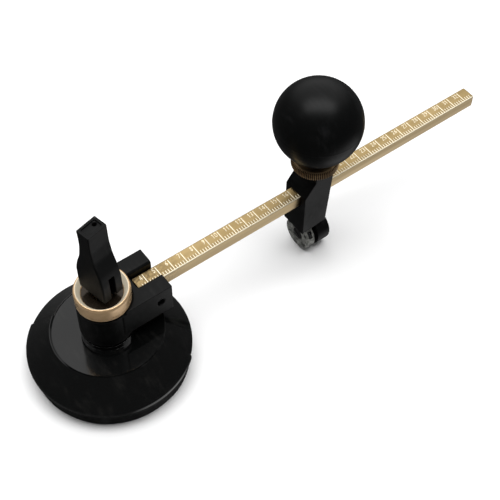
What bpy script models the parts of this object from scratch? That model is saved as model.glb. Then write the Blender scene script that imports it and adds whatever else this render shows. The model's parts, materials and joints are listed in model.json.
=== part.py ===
# Circular glass cutter: a suction base with a swivelling fork arm, a graduated bar hinged in
# the fork, and a cutting head with a six-wheel turret that slides on the bar.
#
# Sizes are in millimetres and become metres where the meshes are made. +Z is up, the bar runs
# along +X, and the origin is the centre of the suction face.

import math

import bmesh
import bpy
from mathutils import Matrix, Vector

MM = 0.001
GAP = 0.3                  # clearance between neighbouring pieces
PAST = 1.0                 # how far a cutting shape goes beyond the piece it cuts

# Base
CUP_R = 26.8               # rubber cup, at the glass
CUP_CENTRE_T = 2.9         # rubber under the moulded-in nut
SKIRT_R = 27.6             # widest part of the housing
SKIRT_Z = 7.0              # lower edge of the housing
CONE_Z = 8.4               # where the cone starts
DISC_R = 18.9              # top of the cone
DISC_Z = 17.0
SECTOR_RISE = 0.5          # the front part of the cone stands proud by this much
SECTOR_START = 129.0       # degrees, counted from +X
SECTOR_END = 313.0
POST_R = 6.6
POST_BORE_R = 5.0
POST_TOP_Z = 33.7
SEAT_Z = 18.6              # flat round the post, under the thrust washer
SEAT_R = 8.9
DISC_DIP = 0.3             # the disc is flat and this far below its rim
SHELL_T = 3.1              # wall under the cone, measured upright

# Brass cup on the post
RING_R = 9.2
RING_BOTTOM_Z = 34.0
RING_TOP_Z = 40.0
RING_FLOOR_Z = 37.6
RING_HOLE_R = 3.4
RING_SPIGOT_Z = 27.0       # lower end of the spigot inside the post

# Fork arm
COLLAR_R = 9.1
COLLAR_BORE_R = POST_R + GAP
COLLAR_BOTTOM_Z = 20.0
COLLAR_TOP_Z = 33.1
FORK_START_X = 1.5         # inside the collar
FORK_END_X = 20.2
FORK_HALF_Y = 9.2
FORK_BOTTOM_Z = 22.5
FORK_TOP_Z = 34.4
FORK_SLOT_X = 10.8
PIVOT_X = 15.7             # bar hinge
PIVOT_Z = 29.0
PIVOT_R = 1.1
PIVOT_PIN_L = 16.4         # its ends are a little below the prongs' faces

# Bar
BAR_START_X = 12.0
BAR_END_X = 160.3
BAR_Y = 5.4
BAR_Z = 4.8

# Lever, pivoted in the stud's eye; the pivot's height is LEVER_Z
LEVER_TURN = 12.5          # degrees from +X to the lever's cross pin
LEVER_Z = 44.5
LEVER_TOP_Z = 70.3
LEVER_FOOT_Z = -3.5        # under the pivot
LEVER_FOOT_X = 4.15        # half widths at the pivot and at the top
LEVER_GRIP_X = 3.85
LUG_X = 2.8
SLOT_X = 1.1               # half the slot for the stud's eye
SLOT_MOUTH_Z = 5.6         # the slot is taller at the lever's front
EYE_R = 2.4
TONGUE_T = 1.6
PIN_R = 1.0

# Cutting head
HEAD_X = 85.7              # clamp screw's axis
HEAD_HALF_Y = 5.3
HEAD_TOP_Z = 41.0
HEAD_LEFT_X = -7.7         # from the clamp screw's axis
HEAD_RIGHT_X = 4.5
SHOULDER_X = 4.4           # depth of the chamfered shoulder
KNURL_R = 8.3
KNURL_BOTTOM_Z = 41.3
KNURL_TOP_Z = 45.0
KNURLS = 36
BALL_R = 15.15
BALL_Z = 61.6
BORE_R = 3.5               # blind bore in the ball, up to this height over its centre
BORE_TOP = 5.2
SPINDLE_R = 2.0
SPINDLE_TOP_Z = 66.0
BUSH_LOW_Z = 48.6
BUSH_TOP_Z = 64.0

# Turret
TURRET_Z = 6.45
TURRET_LEFT_X = 80.1
TURRET_T = 3.3
TURRET_R = 6.3
BOSS_R = 6.7
BOSS_Z = 7.0
WHEELS = 6
WHEEL_R = 1.4
WHEEL_T = 1.0
WHEEL_ORBIT_R = TURRET_Z - WHEEL_R
WHEEL_PIN_R = 0.4
WHEEL_X = TURRET_T / 2     # middle of the turret's thickness
TURRET_SCREW_R = 1.5


for old in list(bpy.data.objects):
    bpy.data.objects.remove(old, do_unlink=True)


def material(name, colour, roughness, metallic=0.0):
    made = bpy.data.materials.new(name)
    made.use_nodes = True
    shader = made.node_tree.nodes["Principled BSDF"]
    shader.inputs["Base Color"].default_value = (*colour, 1.0)
    shader.inputs["Roughness"].default_value = roughness
    shader.inputs["Metallic"].default_value = metallic
    made.diffuse_color = (*colour, 1.0)
    return made


BLACK = material("black_plastic", (0.022, 0.022, 0.024), 0.45)
GLOSS = material("gloss_black", (0.008, 0.008, 0.009), 0.2)
RUBBER = material("rubber", (0.03, 0.03, 0.032), 0.8)
BRASS = material("brass", (0.78, 0.60, 0.38), 0.25, 1.0)
BAR_BRASS = material("bar_brass", (0.72, 0.60, 0.38), 0.35, 1.0)
STEEL = material("steel", (0.45, 0.45, 0.46), 0.4, 1.0)
NYLON = material("nylon", (0.03, 0.03, 0.032), 0.5)


def empty(name, place, parent=None, turn=0.0):
    made = bpy.data.objects.new(name, None)
    made.location = Vector(place) * MM
    made.rotation_euler = (0.0, 0.0, math.radians(turn))
    made.parent = parent
    bpy.context.scene.collection.objects.link(made)
    return made


def finish(name, bm, parent=None, slot=None):
    """Turn a bmesh in millimetres into an object, in metres, under its parent."""
    bmesh.ops.remove_doubles(bm, verts=bm.verts[:], dist=1e-5)
    bmesh.ops.recalc_face_normals(bm, faces=bm.faces[:])
    bmesh.ops.scale(bm, vec=(MM, MM, MM), verts=bm.verts[:])
    mesh = bpy.data.meshes.new(name)
    bm.to_mesh(mesh)
    bm.free()
    mesh.shade_smooth()
    mesh.set_sharp_from_angle(angle=math.radians(35))
    made = bpy.data.objects.new(name, mesh)
    if slot is not None:
        mesh.materials.append(slot)
    made.parent = parent
    bpy.context.scene.collection.objects.link(made)
    return made


def turned(profile, steps=40, axis="Z", centre=(0.0, 0.0, 0.0), start=0.0, sweep=360.0, radius=None):
    """Carry a closed outline of (radius, height) points round Z or X. Points at radius 0 are poles."""
    bm = bmesh.new()
    whole = sweep == 360.0
    count = steps if whole else steps + 1
    rings = []
    for step in range(count):
        angle = math.radians(start + sweep * step / steps)
        grow = radius(step) if radius else 1.0
        across, along = grow * math.cos(angle), grow * math.sin(angle)
        rings.append([bm.verts.new((r * across, r * along, h)) for r, h in profile])
    last = len(profile)
    for step in range(steps):
        one, two = rings[step], rings[(step + 1) % count]
        for low in range(last):
            high = (low + 1) % last
            if profile[low][0] == 0.0 and profile[high][0] == 0.0:
                continue
            if profile[low][0] == 0.0:
                bm.faces.new((one[low], one[high], two[high]))
            elif profile[high][0] == 0.0:
                bm.faces.new((one[low], one[high], two[low]))
            else:
                bm.faces.new((one[low], one[high], two[high], two[low]))
    if not whole:
        bm.faces.new(rings[0])
        bm.faces.new(rings[-1])
    if axis == "X":
        turn = Matrix.Rotation(math.radians(90), 3, "Y")
        bmesh.ops.rotate(bm, cent=(0, 0, 0), matrix=turn, verts=bm.verts[:])
    bmesh.ops.translate(bm, vec=centre, verts=bm.verts[:])
    return bm


def box(low, high, bevel=0.0):
    bm = bmesh.new()
    bmesh.ops.create_cube(bm, size=1.0)
    low, high = Vector(low), Vector(high)
    bmesh.ops.scale(bm, vec=high - low, verts=bm.verts[:])
    bmesh.ops.translate(bm, vec=(low + high) / 2, verts=bm.verts[:])
    if bevel:
        bmesh.ops.bevel(bm, geom=bm.edges[:], offset=bevel, segments=1, profile=0.5, affect="EDGES")
    return bm


def extruded(outline, half_width, plane="XZ"):
    """Push an outline in the XZ or YZ plane out to both sides; half_width is a number or depends on z."""
    bm = bmesh.new()
    sides = []
    for sign in (-1, 1):
        verts = []
        for a, z in outline:
            out = sign * (half_width(z) if callable(half_width) else half_width)
            verts.append(bm.verts.new((a, out, z) if plane == "XZ" else (out, a, z)))
        sides.append(verts)
        bm.faces.new(verts)
    for one in range(len(outline)):
        two = (one + 1) % len(outline)
        bm.faces.new((sides[0][one], sides[0][two], sides[1][two], sides[1][one]))
    return bm


def arc(centre, radius, start, end, steps):
    angles = [math.radians(start + (end - start) * step / steps) for step in range(steps + 1)]
    return [(centre[0] + radius * math.cos(a), centre[1] + radius * math.sin(a)) for a in angles]


def rod(radius, low, high, steps=40, **spin):
    return turned([(0.0, low), (radius, low), (radius, high), (0.0, high)], steps, **spin)


def washer(inner, outer, low, high, steps=32, **spin):
    return turned([(inner, low), (outer, low), (outer, high), (inner, high)], steps, **spin)


def pin(radius, length, along, centre=(0.0, 0.0, 0.0), steps=16):
    """A plain round pin along X, Y or Z, its middle at the centre."""
    bm = rod(radius, -length / 2, length / 2, steps)
    if along != "Z":
        turn = Matrix.Rotation(math.radians(90), 3, "Y" if along == "X" else "X")
        bmesh.ops.rotate(bm, cent=(0, 0, 0), matrix=turn, verts=bm.verts[:])
    bmesh.ops.translate(bm, vec=centre, verts=bm.verts[:])
    return bm


def change(target, bm, name, operation="DIFFERENCE"):
    """Cut a shape from an object, or add it with a union; the shape is in the object's own space."""
    tool = finish(name, bm, target)
    tool.hide_render = True
    tool.display_type = "WIRE"
    modifier = target.modifiers.new(name, "BOOLEAN")
    modifier.operation = operation
    modifier.solver = "EXACT"
    modifier.object = tool
    return target


# Joint axes
lever_axis = empty("lever_axis", (0.0, 0.0, LEVER_Z), turn=LEVER_TURN)
bar_axis = empty("bar_axis", (PIVOT_X, 0.0, PIVOT_Z))
head_axis = empty("head_axis", (HEAD_X, 0.0, 0.0))
knob_axis = empty("knob_axis", (HEAD_X, 0.0, BALL_Z))
turret_axis = empty("turret_axis", (TURRET_LEFT_X, 0.0, TURRET_Z))


def suction_cup():
    """A flat-bottomed rubber cup with a thick rim and a boss that holds the stud's nut."""
    profile = [
        (0.0, 0.0), (CUP_R, 0.0), (CUP_R - 0.5, 1.5), (CUP_R - 1.2, 4.5), (CUP_R - 1.4, 6.8),
        (CUP_R - 2.0, 8.2), (CUP_R - 3.3, 8.2), (CUP_R - 5.0, 6.0), (19.0, 3.6), (12.0, 3.4),
        (9.6, 5.0), (9.3, 9.6), (8.9, 10.0), (4.5, 10.0), (4.5, 5.1), (7.3, 5.1),
        (7.3, CUP_CENTRE_T), (0.0, CUP_CENTRE_T),
    ]
    return finish("suction_cup", turned(profile), slot=RUBBER)


def cup_insert():
    """Flanged nut in the rubber: the flange is under the boss's neck, and the hole takes the stud."""
    profile = [(1.9, 3.2), (7.0, 3.2), (7.0, 4.8), (4.2, 4.8), (4.2, 10.6), (1.9, 10.6)]
    return finish("cup_insert", turned(profile, 24), slot=STEEL)


def pull_stud():
    """Round stud whose top is a flat eye for the lever's pin."""
    profile = [(0.0, 3.6), (1.6, 3.6), (1.6, 10.9), (2.6, 10.9), (2.6, 31.0), (0.0, 31.0)]
    stud = finish("pull_stud", turned(profile, 20), slot=STEEL)
    stud.rotation_euler = (0.0, 0.0, math.radians(LEVER_TURN))
    eye = [(-EYE_R, 30.0), (EYE_R, 30.0)] + arc((0.0, LEVER_Z), EYE_R, 0, 180, 12)
    change(stud, extruded(eye, TONGUE_T / 2, "YZ"), "eye_shape", "UNION")
    return change(stud, pin(PIN_R + GAP, 6.0, "X", (0.0, 0.0, LEVER_Z)), "eye_hole")


def base_housing():
    """Hollow cone with a shallow disc and a tubular post on top; its front sector is a little proud."""
    slope = (DISC_Z - CONE_Z) / (SKIRT_R - DISC_R)
    under = DISC_R - 1.0
    profile = [
        (POST_R, SEAT_Z), (POST_R, POST_TOP_Z), (POST_BORE_R, POST_TOP_Z), (POST_BORE_R, 15.6),
        (under, CONE_Z + (SKIRT_R - under) * slope - SHELL_T),
        (23.0, CONE_Z + (SKIRT_R - 23.0) * slope - SHELL_T),
        (23.3, 8.6), (CUP_R - 1.6, 8.6), (CUP_R - 1.0, SKIRT_Z), (SKIRT_R, SKIRT_Z), (SKIRT_R, CONE_Z),
        (DISC_R, DISC_Z), (DISC_R - 0.7, DISC_Z - DISC_DIP), (SEAT_R + GAP, DISC_Z - DISC_DIP),
        (SEAT_R, SEAT_Z),
    ]
    housing = finish("base_housing", turned(profile, 48), slot=BLACK)
    rise = SECTOR_RISE
    sector = [
        (SKIRT_R - 1.0, SKIRT_Z + 0.2), (SKIRT_R + rise, SKIRT_Z + 0.2), (SKIRT_R + rise, CONE_Z + 0.2),
        (DISC_R + 0.2, DISC_Z + rise), (DISC_R - 0.4, DISC_Z + rise - 0.1), (DISC_R - 0.4, DISC_Z - 1.5),
        (SKIRT_R - 1.0, CONE_Z - 0.6),
    ]
    shape = turned(sector, 26, start=SECTOR_START, sweep=SECTOR_END - SECTOR_START)
    return change(housing, shape, "front_sector", "UNION")


def thrust_washer():
    low, high = SEAT_Z + GAP, COLLAR_BOTTOM_Z - GAP
    return finish("thrust_washer", washer(COLLAR_BORE_R, 8.6, low, high), slot=NYLON)


def friction_washer():
    low, high = COLLAR_TOP_Z + 0.25, RING_BOTTOM_Z - 0.25
    return finish("friction_washer", washer(COLLAR_BORE_R, 8.6, low, high), slot=STEEL)


def retaining_cup():
    """Brass cup with a rounded lip and a bevelled inside, on a spigot that screws into the post."""
    lip = RING_TOP_Z
    profile = [
        (RING_HOLE_R, RING_SPIGOT_Z), (POST_BORE_R - GAP, RING_SPIGOT_Z), (POST_BORE_R - GAP, RING_BOTTOM_Z),
        (RING_R - 0.5, RING_BOTTOM_Z), (RING_R, RING_BOTTOM_Z + 0.5), (RING_R, lip - 0.5),
        (RING_R - 0.3, lip - 0.1), (RING_R - 0.7, lip), (RING_R - 1.05, lip - 0.15),
        (RING_R - 2.25, RING_FLOOR_Z), (RING_HOLE_R, RING_FLOOR_Z),
    ]
    return finish("retaining_cup", turned(profile, 48), slot=BRASS)


def swivel_arm():
    """Collar round the post, and two prongs that hold the bar."""
    collar = washer(COLLAR_BORE_R, COLLAR_R, COLLAR_BOTTOM_Z, COLLAR_TOP_Z, 40)
    arm = finish("swivel_arm", collar, slot=BLACK)
    low = (FORK_START_X, -FORK_HALF_Y, FORK_BOTTOM_Z)
    high = (FORK_END_X, FORK_HALF_Y, FORK_TOP_Z)
    change(arm, box(low, high, bevel=0.4), "fork_block", "UNION")
    change(arm, rod(COLLAR_BORE_R, COLLAR_BOTTOM_Z - PAST, FORK_TOP_Z + PAST), "post_hole")
    change(arm, rod(RING_R + GAP, COLLAR_TOP_Z, FORK_TOP_Z + PAST), "ring_room")
    slot_y = BAR_Y / 2 + GAP
    slot = box((FORK_SLOT_X, -slot_y, FORK_BOTTOM_Z - PAST), (FORK_END_X + PAST, slot_y, FORK_TOP_Z + PAST))
    change(arm, slot, "fork_slot")
    return change(arm, pin(PIVOT_R + GAP, 20.0, "Y", (PIVOT_X, 0.0, PIVOT_Z)), "pivot_hole")


def pivot_pin():
    return finish("pivot_pin", pin(PIVOT_R, PIVOT_PIN_L, "Y"), bar_axis, STEEL)


def bar():
    """Square bar with a cross hole for the pivot pin near its inner end."""
    low = (BAR_START_X - PIVOT_X, -BAR_Y / 2, -BAR_Z / 2)
    high = (BAR_END_X - PIVOT_X, BAR_Y / 2, BAR_Z / 2)
    made = finish("bar", box(low, high, bevel=0.35), bar_axis, BAR_BRASS)
    return change(made, pin(PIVOT_R + GAP, 8.0, "Y"), "bar_pivot_hole")


def lever():
    """Thumb lever: narrow grip, thumb scoop at the back, flared foot, and a rounded lug below it."""
    grip_top = LEVER_TOP_Z - LEVER_Z
    outline = [
        (-5.9, LEVER_FOOT_Z), (-5.75, 4.0), (-5.1, 7.7), (-4.2, 10.5), (-3.1, 13.9), (-2.45, 18.5),
        (-2.35, grip_top), (2.85, grip_top), (2.5, 22.0), (2.55, 18.6), (3.3, 13.7), (5.0, 9.2),
        (5.85, 5.4), (5.75, 1.1), (5.45, LEVER_FOOT_Z),
    ]

    def half_width(z):
        return LEVER_FOOT_X + (LEVER_GRIP_X - LEVER_FOOT_X) * max(z, 0.0) / grip_top

    made = finish("lever", extruded(outline, half_width, "YZ"), lever_axis, BLACK)
    lug = [(4.4, -3.0), (-5.0, -3.0)]
    lug += arc((-1.8, -4.3), 2.2, 200, 270, 4) + arc((1.8, -4.3), 2.2, 270, 340, 4)
    change(made, extruded(lug, LUG_X, "YZ"), "lug_shape", "UNION")
    slot = box((-SLOT_X, -8.0, -8.0), (SLOT_X, EYE_R + GAP, EYE_R + GAP))
    change(made, slot, "clevis_slot")
    change(made, box((-SLOT_X, -8.0, EYE_R), (SLOT_X, -3.5, SLOT_MOUTH_Z)), "clevis_mouth")
    change(made, pin(PIN_R + GAP, 8.0, "X", (1.6, 0.0, 0.0)), "lever_pin_hole")
    change(made, box((-2.9, -1.4, grip_top - 0.6), (2.9, 1.9, grip_top + PAST)), "grip_recess")
    return change(made, pin(0.7, 4.0, "Z", (1.8, 0.9, grip_top - 1.0), 12), "grip_hole")


def lever_pin():
    """The pin goes in from one side, and its hole stops inside the other cheek."""
    return finish("lever_pin", pin(PIN_R, 6.0, "X", (0.8, 0.0, 0.0)), lever_axis, STEEL)


def head_block():
    """Moulded block with a chamfered shoulder, the bar's slot, and a round boss for the turret below."""
    left, right = HEAD_LEFT_X, HEAD_RIGHT_X
    outline = [
        (left, 13.0), (left, 32.0), (left + SHOULDER_X, 38.0), (left + SHOULDER_X, HEAD_TOP_Z),
        (right, HEAD_TOP_Z), (right - 1.9, 14.2),
    ]
    made = finish("head_block", extruded(outline, HEAD_HALF_Y), head_axis, BLACK)
    boss_left = TURRET_LEFT_X + TURRET_T + 1.1 - HEAD_X
    profile = [
        (0.0, boss_left), (BOSS_R, boss_left), (BOSS_R, right - 0.4), (BOSS_R - 0.5, right), (0.0, right),
    ]
    change(made, turned(profile, 32, "X", (0.0, 0.0, BOSS_Z)), "boss_shape", "UNION")
    neck = box((boss_left, -4.0, 8.0), (2.4, 4.0, 15.0))
    change(made, neck, "neck_shape", "UNION")
    y, z = BAR_Y / 2 + GAP, BAR_Z / 2 + GAP
    change(made, box((-12.0, -y, PIVOT_Z - z), (8.0, y, PIVOT_Z + z)), "bar_slot")
    change(made, pin(SPINDLE_R + GAP, 12.0, "Z", (0.0, 0.0, 37.0)), "screw_hole")
    hole = pin(TURRET_SCREW_R + GAP, 7.0, "X", (boss_left + 1.5, 0.0, TURRET_Z))
    return change(made, hole, "turret_screw_hole")


def clamp_pad():
    low = PIVOT_Z + BAR_Z / 2 + GAP
    return finish("clamp_pad", rod(SPINDLE_R, low, low + 0.9, 20), head_axis, NYLON)


def clamp_screw():
    """Knurled head on a plain shank; the top is bored for the spindle."""
    ridge = [(0.0, 33.0), (SPINDLE_R, 33.0), (SPINDLE_R, KNURL_BOTTOM_Z)]
    shank = finish("clamp_screw", turned(ridge + [(0.0, KNURL_BOTTOM_Z)], 20), head_axis, BRASS)
    knurled = [
        (0.0, KNURL_BOTTOM_Z - 0.2), (KNURL_R - 0.6, KNURL_BOTTOM_Z), (KNURL_R, KNURL_BOTTOM_Z + 0.5),
        (KNURL_R, KNURL_TOP_Z - 0.5), (KNURL_R - 0.6, KNURL_TOP_Z), (0.0, KNURL_TOP_Z),
    ]
    head = turned(knurled, 2 * KNURLS, radius=lambda step: 1.0 if step % 2 else 0.955)
    change(shank, head, "knurled_head", "UNION")
    return change(shank, pin(1.9, 6.0, "Z", (0.0, 0.0, KNURL_TOP_Z)), "spindle_socket")


def knob_spindle():
    profile = [
        (0.0, 42.3), (1.6, 42.3), (1.6, KNURL_TOP_Z + GAP), (3.2, KNURL_TOP_Z + GAP), (3.2, 47.2),
        (SPINDLE_R, 47.2), (SPINDLE_R, SPINDLE_TOP_Z), (0.0, SPINDLE_TOP_Z),
    ]
    return finish("knob_spindle", turned(profile, 20), head_axis, STEEL)


def spindle_clip():
    clip = washer(SPINDLE_R + 0.2, BORE_R - GAP, BUSH_TOP_Z + 0.6, BUSH_TOP_Z + 1.2, 20)
    return finish("spindle_clip", clip, head_axis, STEEL)


def knob_bush():
    bush = washer(SPINDLE_R + GAP, BORE_R - GAP, BUSH_LOW_Z - BALL_Z, BUSH_TOP_Z - BALL_Z, 20)
    return finish("knob_bush", bush, knob_axis, NYLON)


def ball_knob():
    """Ball with a blind bore from below for the bush and the spindle."""
    mouth = math.degrees(math.asin(BORE_R / BALL_R))
    outside = arc((0.0, 0.0), BALL_R, mouth - 90, 90, 18)
    outside[-1] = (0.0, BALL_R)
    profile = outside + [(0.0, BORE_TOP), (BORE_R, BORE_TOP)]
    return finish("ball_knob", turned(profile, 32), knob_axis, GLOSS)


def turret():
    """Steel disc with a slot and a pin hole for each wheel, and a countersunk hole for its screw."""
    profile = [
        (1.8, 1.4), (2.9, 0.0), (TURRET_R - 0.5, 0.0), (TURRET_R, 0.5), (TURRET_R, TURRET_T - 0.4),
        (TURRET_R - 0.4, TURRET_T), (1.8, TURRET_T),
    ]
    made = finish("turret", turned(profile, 36, "X"), turret_axis, STEEL)
    for index in range(WHEELS):
        spoke = Matrix.Rotation(math.tau * index / WHEELS, 3, "X")
        half_x, half_y = WHEEL_T / 2 + GAP, WHEEL_R + 0.25
        slot = box((WHEEL_X - half_x, -half_y, -8.0), (WHEEL_X + half_x, half_y, -3.3))
        hole = pin(WHEEL_PIN_R + GAP, 8.0, "X", (WHEEL_X, 0.0, -WHEEL_ORBIT_R), 12)
        for name, bm in (("wheel_slot", slot), ("wheel_hole", hole)):
            bmesh.ops.rotate(bm, cent=(0, 0, 0), matrix=spoke, verts=bm.verts[:])
            change(made, bm, f"{name}_{index + 1}")
    return made


def wheels():
    """Six wheels with a sharp edge, each on its own pin, evenly round the turret."""
    half, edge = WHEEL_T / 2, 0.15
    rim = WHEEL_R - 0.35
    profile = [
        (0.7, -half), (rim, -half), (WHEEL_R, -edge / 2), (WHEEL_R, edge / 2), (rim, half), (0.7, half),
    ]
    for index in range(WHEELS):
        angle = math.tau * index / WHEELS
        place = (WHEEL_X, WHEEL_ORBIT_R * math.sin(angle), -WHEEL_ORBIT_R * math.cos(angle))
        axis = empty(f"wheel_axis_{index + 1}", place, turret_axis)
        finish(f"wheel_{index + 1}", turned(profile, 16, "X"), axis, STEEL)
        axle = pin(WHEEL_PIN_R, TURRET_T - 0.2, "X", steps=10)
        finish(f"wheel_pin_{index + 1}", axle, axis, STEEL)


def turret_screw():
    """Countersunk screw along X, flush with the turret's face."""
    r, end = TURRET_SCREW_R, 9.0
    profile = [(0.0, 0.1), (r + 1.0, 0.1), (r, 1.1), (r, end), (0.0, end)]
    return finish("turret_screw", turned(profile, 20, "X"), turret_axis, STEEL)


def turret_washer():
    low = TURRET_T + GAP
    ring = washer(TURRET_SCREW_R + GAP, 4.5, low, low + 0.5, 24, axis="X")
    return finish("turret_washer", ring, turret_axis, STEEL)


MAKERS = (
    suction_cup, cup_insert, pull_stud, base_housing, thrust_washer, friction_washer, retaining_cup,
    swivel_arm, pivot_pin, bar, lever, lever_pin, head_block, clamp_pad, clamp_screw, knob_spindle,
    spindle_clip, knob_bush, ball_knob, turret, wheels, turret_screw, turret_washer,
)
for maker in MAKERS:
    maker()
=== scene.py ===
import json
import math

import bmesh
import bpy
import numpy as np
from mathutils import Matrix, Vector


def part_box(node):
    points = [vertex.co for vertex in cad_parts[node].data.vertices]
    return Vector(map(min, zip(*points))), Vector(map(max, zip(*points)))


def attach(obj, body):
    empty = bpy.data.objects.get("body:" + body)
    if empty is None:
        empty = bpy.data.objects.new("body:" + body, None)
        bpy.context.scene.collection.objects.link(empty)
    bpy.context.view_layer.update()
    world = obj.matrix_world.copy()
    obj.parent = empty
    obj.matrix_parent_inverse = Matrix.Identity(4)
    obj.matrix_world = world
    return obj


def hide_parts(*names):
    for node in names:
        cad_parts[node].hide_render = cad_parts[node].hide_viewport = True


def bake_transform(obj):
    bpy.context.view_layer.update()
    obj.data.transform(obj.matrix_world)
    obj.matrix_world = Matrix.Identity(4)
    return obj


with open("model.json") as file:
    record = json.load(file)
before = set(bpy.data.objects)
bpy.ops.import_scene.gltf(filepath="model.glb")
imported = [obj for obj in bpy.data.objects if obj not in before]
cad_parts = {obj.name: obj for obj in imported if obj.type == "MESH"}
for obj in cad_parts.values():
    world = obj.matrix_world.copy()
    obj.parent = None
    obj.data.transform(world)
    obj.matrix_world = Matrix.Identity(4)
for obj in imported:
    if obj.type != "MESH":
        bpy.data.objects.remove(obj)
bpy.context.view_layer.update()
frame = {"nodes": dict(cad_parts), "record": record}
mm = 0.001
tau = 2 * math.pi
past = 1.0                                     # mm by which a cutting tool runs past what it cuts
print("frame loaded:", len(frame["nodes"]), "nodes")


def roundedPath(corners, radii, steps=5, closed=True):
    # each corner (a, b) is swapped for an arc of its radius, tangent to both sides that meet there; the arc's
    # points are its two ends blended by sines of the angle
    corners = [np.array(c, float) for c in corners]
    count = len(corners)
    radii = [radii] * count if np.isscalar(radii) else radii
    out = []
    for i, (here, radius) in enumerate(zip(corners, radii)):
        if radius <= 0 or (not closed and i in (0, count - 1)):
            out.append(here[None])
            continue
        back, ahead = corners[i - 1] - here, corners[(i + 1) % count] - here
        lengths = np.linalg.norm(back), np.linalg.norm(ahead)
        back, ahead = back / lengths[0], ahead / lengths[1]
        half = math.acos(np.clip(back @ ahead, -1, 1)) / 2
        if half > math.pi / 2 - 0.02:          # the path hardly bends here
            out.append(here[None])
            continue
        trim = min(radius / math.tan(half), 0.48 * min(lengths))   # an arc stays within half of each side
        radius = trim * math.tan(half)
        centre = here + (back + ahead) / np.linalg.norm(back + ahead) * radius / math.sin(half)
        one, two = here + back * trim - centre, here + ahead * trim - centre
        sweep = math.pi - 2 * half
        t = np.linspace(0, 1, steps + 1)[:, None]
        out.append(centre + (np.sin((1 - t) * sweep) * one + np.sin(t * sweep) * two) / math.sin(sweep))
    return np.vstack(out)


def roundedRows(rows, steps=5, closed=True):
    # the same, with each corner's radius as the third number of its row
    rows = np.array(rows, float)
    return roundedPath(rows[:, :2], rows[:, 2], steps, closed)


def denser(path, step, closed=True, guard=0.05):
    # points added along each straight stretch so that none is longer than step, and one close to each of its
    # ends, which keeps the shading of the flat parts flat
    ends = np.roll(path, -1, 0) if closed else path[1:]
    pieces = []
    for one, two in zip(path, ends):
        length = np.linalg.norm(two - one)
        t = np.linspace(0, 1, max(1, int(length / step)), endpoint=False)
        if length > 4 * guard:
            t = np.unique(np.concatenate([t, [guard / length, 1 - guard / length]]))
        pieces.append(one + (two - one) * t[:, None])
    return np.vstack(pieces + ([] if closed else [path[-1:]]))


def gridPiece(name, points, wrapU=False, wrapV=False, capU=False, values=None):
    # points[u, v] are joined into four-sided faces; capU closes the first and last row with a centre point,
    # and values are kept at the points for the material to read
    rows, cols = points.shape[:2]
    verts = points.reshape(-1, 3)
    u = np.arange(rows if wrapU else rows - 1)[:, None]
    v = np.arange(cols if wrapV else cols - 1)[None, :]
    u2, v2 = (u + 1) % rows, (v + 1) % cols
    quads = np.stack([a * cols + b for a, b in ((u, v), (u, v2), (u2, v2), (u2, v))], -1).reshape(-1, 4)
    faces = quads.tolist()
    if capU:
        verts = np.vstack([verts, points[0].mean(0)[None], points[-1].mean(0)[None]])
        ring = np.arange(cols if wrapV else cols - 1)
        nextRing = (ring + 1) % cols
        first = np.stack([np.full_like(ring, rows * cols), nextRing, ring], 1)
        base = (rows - 1) * cols
        last = np.stack([np.full_like(ring, rows * cols + 1), base + ring, base + nextRing], 1)
        faces += first.tolist() + last.tolist()
    mesh = bpy.data.meshes.new(name)
    mesh.from_pydata((verts * mm).tolist(), [], faces)
    if values is not None:
        flat = np.zeros(len(verts), np.float32)
        flat[:rows * cols] = values.reshape(-1)
        mesh.attributes.new("marks_and_painted_light", "FLOAT", "POINT").data.foreach_set("value", flat)
    return newPiece(name, mesh)


def newPiece(name, mesh, merge=2e-7, sharpFrom=40):
    # doubles are merged, normals turned out, and shading is smooth except over edges sharper than that angle
    bm = bmesh.new()
    bm.from_mesh(mesh)
    bmesh.ops.remove_doubles(bm, verts=bm.verts[:], dist=merge)
    bmesh.ops.dissolve_degenerate(bm, edges=bm.edges[:], dist=merge)
    bmesh.ops.recalc_face_normals(bm, faces=bm.faces[:])
    bm.to_mesh(mesh)
    bm.free()
    mesh.shade_smooth()
    mesh.set_sharp_from_angle(angle=math.radians(sharpFrom))
    piece = bpy.data.objects.new(name, mesh)
    bpy.context.scene.collection.objects.link(piece)
    return piece


def turnedPiece(name, profile, steps=128, axis="Z", centre=(0, 0, 0), radiusOf=None, closed=True,
                valuesOf=None):
    # profile (radius, height) carried round an axis: (r cos a, r sin a, h); radiusOf may change it with the
    # angle, and valuesOf gives the points' values
    angle = np.arange(steps) / steps * tau
    r = np.broadcast_to(profile[:, 0][None, :], (steps, len(profile))).copy()
    h = np.broadcast_to(profile[:, 1][None, :], (steps, len(profile))).copy()
    values = valuesOf(angle[:, None], r, h) if valuesOf is not None else None
    if radiusOf is not None:
        r, h = radiusOf(angle[:, None], r, h)
    points = np.stack([r * np.cos(angle)[:, None], r * np.sin(angle)[:, None], h], -1)
    if axis == "X":
        points = np.stack([points[..., 2], points[..., 0], points[..., 1]], -1)
    if axis == "Y":
        points = np.stack([points[..., 1], points[..., 2], points[..., 0]], -1)
    return gridPiece(name, points + np.array(centre, float), wrapU=True, wrapV=closed, values=values)


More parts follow.
